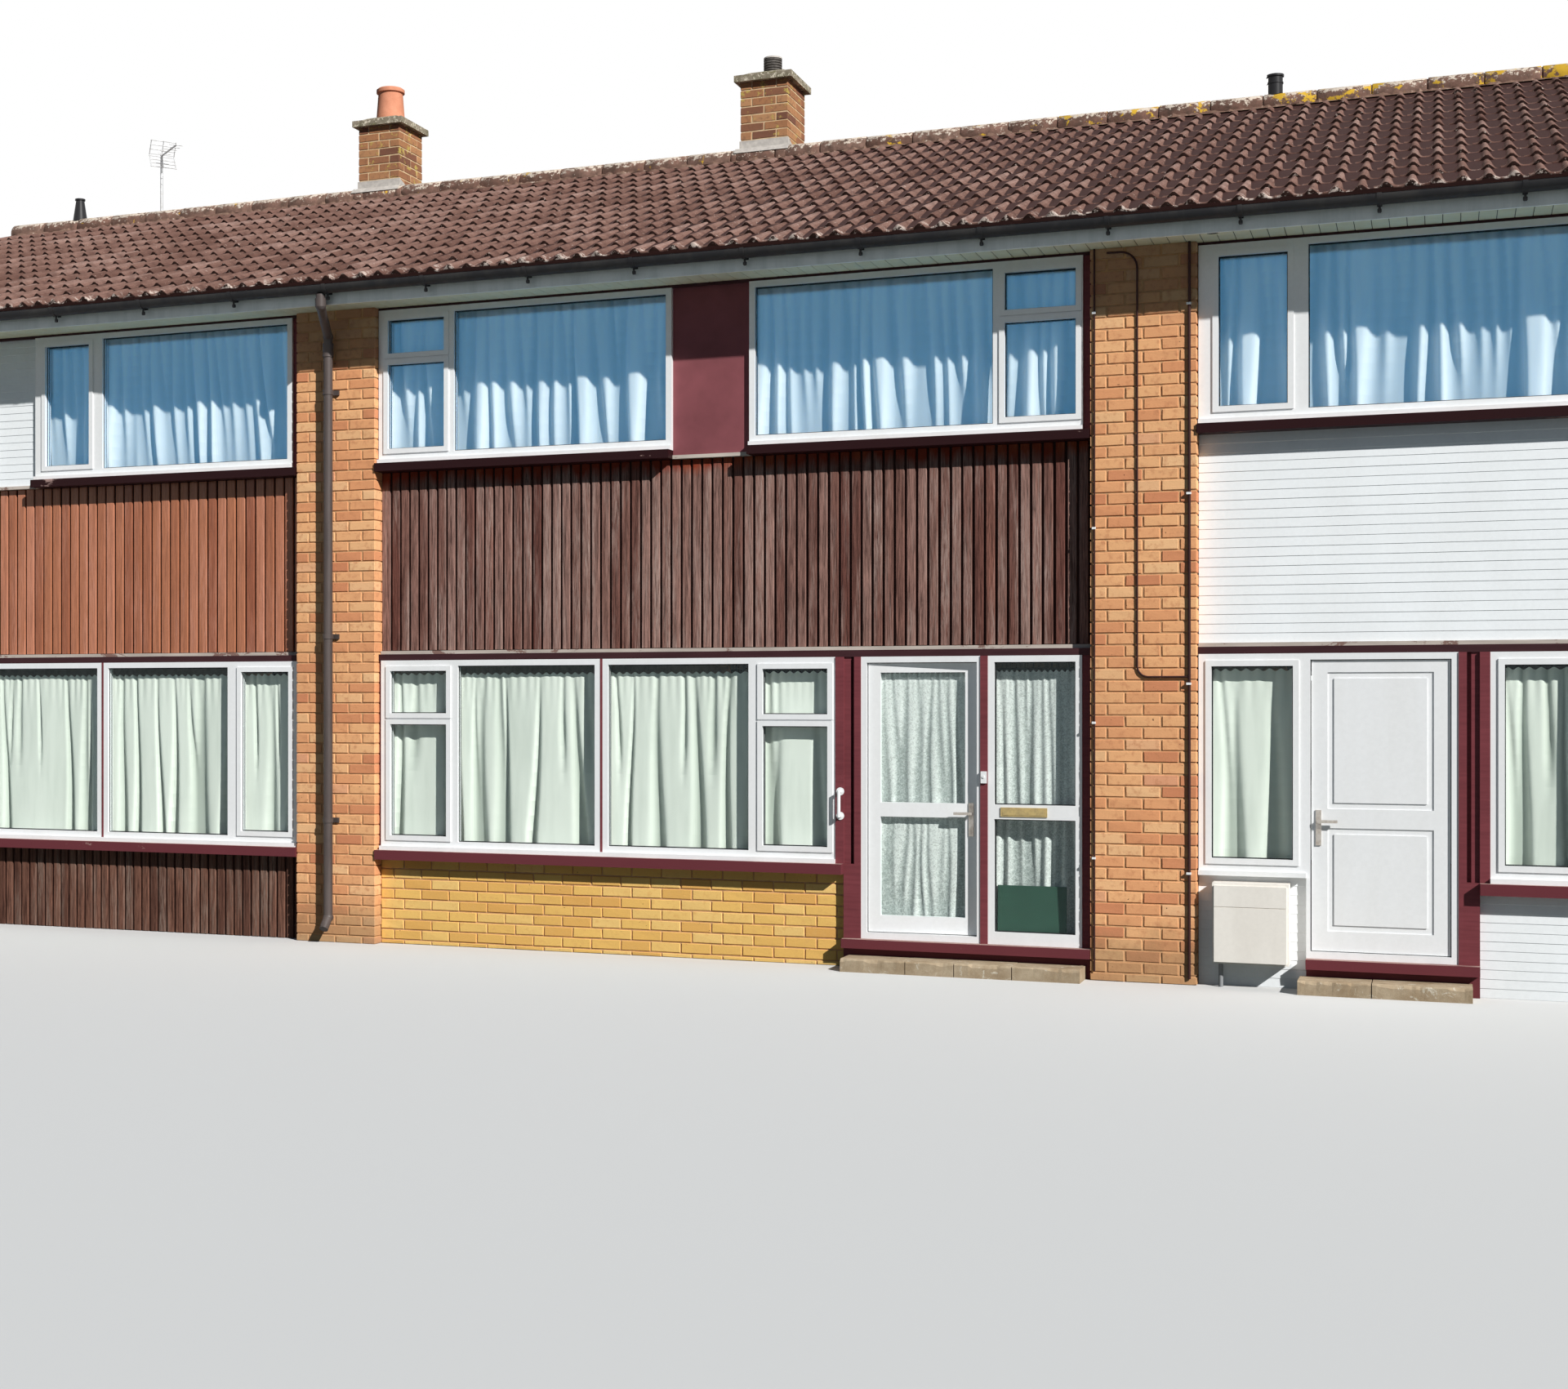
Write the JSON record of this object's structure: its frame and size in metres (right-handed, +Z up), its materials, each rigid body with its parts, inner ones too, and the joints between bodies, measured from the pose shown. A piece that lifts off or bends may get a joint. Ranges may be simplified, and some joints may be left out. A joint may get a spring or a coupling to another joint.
{
  "type": "terraced house row",
  "caption": "Row of cross-wall terraced houses with brick piers, boarded fronts, white windows, opening front doors and a long tiled roof with chimneys.",
  "frame": {"origin": "ground level, under the middle of the row", "axes": "+X along the row to the right of someone facing the front, -Y out of the front, +Z up"},
  "size_m": [18.215, 9.5438, 7.7856],
  "materials": {
    "concrete": "rough concrete",
    "floor_boards": "plain boards",
    "party_brick": "orange-red brick with pale joints",
    "pier_brick": "orange-red brick with pale joints",
    "plinth_brick": "buff-orange brick with pale joints",
    "stud_frame": "plain timber frame",
    "brown_boards": "weathered dark brown stain",
    "red_boards": "red-brown varnish",
    "white_boards": "satin white",
    "maroon_panel": "flat maroon paint",
    "maroon_timber": "satin maroon paint",
    "pale_trim": "worn grey paint",
    "white_plastic": "white window plastic",
    "window_glass": "clear double glazing",
    "door_glass": "clear double glazing",
    "dull_metal": "satin",
    "net_curtain": "white net",
    "brass_plate": "dull aged brass",
    "white_enamel": "satin white",
    "meter_plastic": "moulded off-white",
    "grey_pipe": "dull grey",
    "step_stone": "worn pale concrete",
    "cream_plastic": "aged cream boards",
    "fascia_plastic": "weathered white",
    "black_plastic": "weathered black",
    "cable_sheath": "matt",
    "roof_tile": "brown concrete with pale weathering",
    "ridge_tile": "brown concrete with lichen",
    "chimney_brick": "dark orange brick",
    "cap_concrete": "stained concrete",
    "clay_pot": "terracotta",
    "flue_metal": "dark weathered metal",
    "lead_sheet": "pale dressed lead",
    "aerial_metal": "dull aluminium"
  },
  "bodies": {
    "row": {"ground_floors": "concrete", "first_floors": "floor_boards", "party_walls": "party_brick", "piers": "pier_brick", "plinth_walls": "plinth_brick", "spandrel_walls": "stud_frame", "brown_cladding": "brown_boards", "red_cladding": "red_boards", "white_shiplap": "white_boards", "timber_panels": "maroon_panel", "head_beams": "maroon_timber", "drip_trims": "pale_trim", "timber_sills": "maroon_timber", "white_sills": "white_plastic", "upper_window_frames": "white_plastic", "upper_glass": "window_glass", "lower_window_frames": "white_plastic", "lower_glass": "window_glass", "rear_window_frames": "white_plastic", "rear_glass": "window_glass", "timber_posts": "maroon_timber", "door_jambs": "white_plastic", "door_rails": "white_plastic", "door_sills": "maroon_timber", "doorsteps": "step_stone", "fixed_doors": "white_plastic", "letter_plate": "brass_plate", "grab_rail": "white_enamel", "bell_push": "white_enamel", "meter_box": "meter_plastic", "meter_pipe": "grey_pipe", "upper_curtains": "net_curtain", "lower_curtains": "net_curtain", "soffits": "cream_plastic", "fascias": "fascia_plastic", "gutters": "black_plastic", "downpipes": "black_plastic", "pier_cables": "cable_sheath", "roof_slopes": "roof_tile", "ridge_tiles": "ridge_tile", "chimney_stacks": "chimney_brick", "chimney_caps": "cap_concrete", "chimney_pots": "clay_pot", "flue_terminal": "flue_metal", "chimney_flashings": "lead_sheet", "roof_vents": "black_plastic", "tv_aerial": "aerial_metal"},
    "front_door": {"front_door_leaf": "white_plastic", "front_door_glass": "door_glass", "front_door_handle": "dull_metal", "front_door_curtain": "net_curtain"},
    "right_door": {"right_door_leaf": "white_plastic", "right_door_handle": "dull_metal"}
  },
  "joints": [
    {"name": "front_door_hinge", "type": "hinge", "parent": "row", "child": "front_door", "pos_m": [1.113, -4.178, 1.1], "axis": [0, 0, 1], "range_deg": [-3, 85]},
    {"name": "right_door_hinge", "type": "hinge", "parent": "row", "child": "right_door", "pos_m": [4.737, -4.178, 1.1], "axis": [0, 0, -1], "range_deg": [0, 88]}
  ]
}
